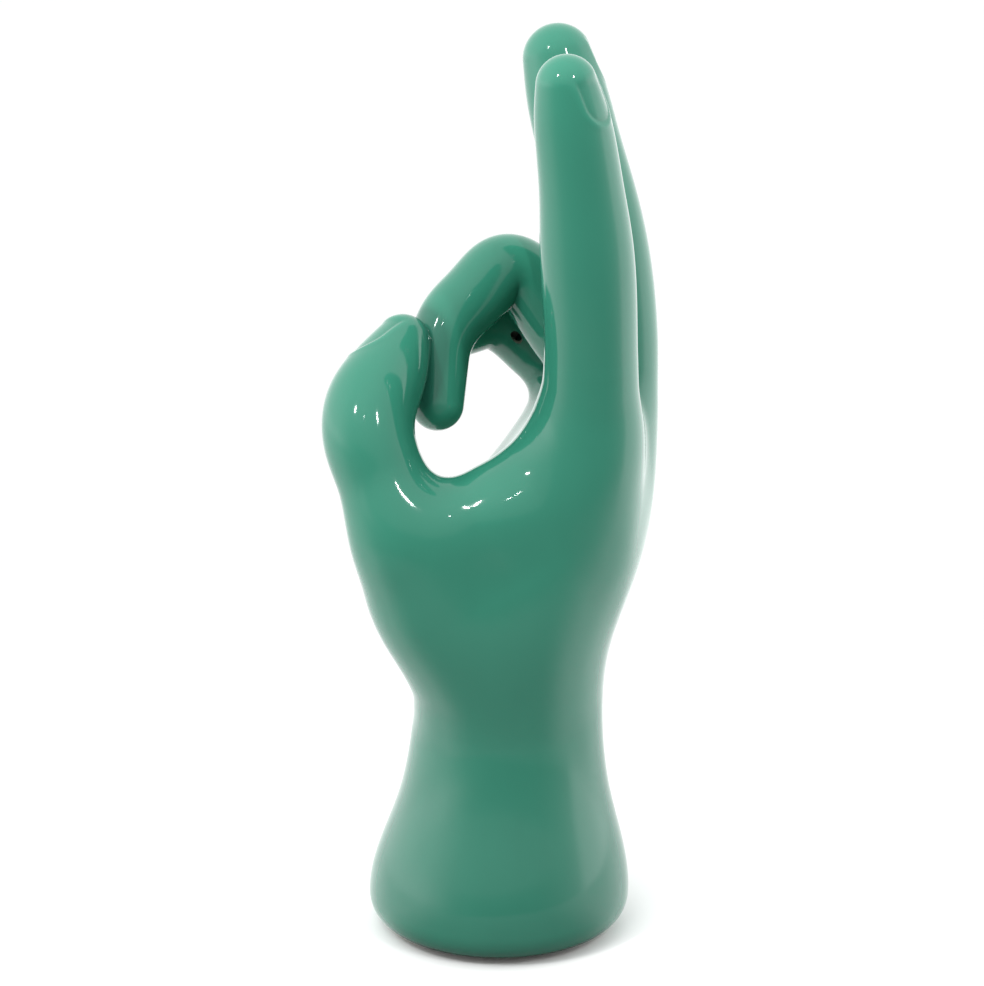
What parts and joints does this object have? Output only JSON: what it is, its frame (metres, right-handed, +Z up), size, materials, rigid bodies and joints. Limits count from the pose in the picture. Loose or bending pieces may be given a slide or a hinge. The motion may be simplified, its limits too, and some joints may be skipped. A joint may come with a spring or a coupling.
{
  "type": "ceramic hand sculpture",
  "caption": "Glazed ceramic hand on a flared wrist foot, raised fingers parted, the others curled under the thumb into an open loop; a free-standing ornament or ring holder.",
  "frame": {"origin": "on the shelf, under the middle of the foot", "axes": "+Z up along the wrist, +X towards the back of the hand, -X towards the palm, -Y towards the thumb's side, +Y towards the little finger's side"},
  "size_m": [0.0999, 0.1068, 0.271],
  "materials": {
    "glaze": "glossy teal-green glaze",
    "felt": "pressed felt"
  },
  "bodies": {
    "root": {"hand_body": "glaze", "thumb": "glaze", "index_finger": "glaze", "middle_finger": "glaze", "ring_finger": "glaze", "little_finger": "glaze", "felt_pad_1": "felt", "felt_pad_2": "felt", "felt_pad_3": "felt", "felt_pad_4": "felt"}
  },
  "joints": []
}
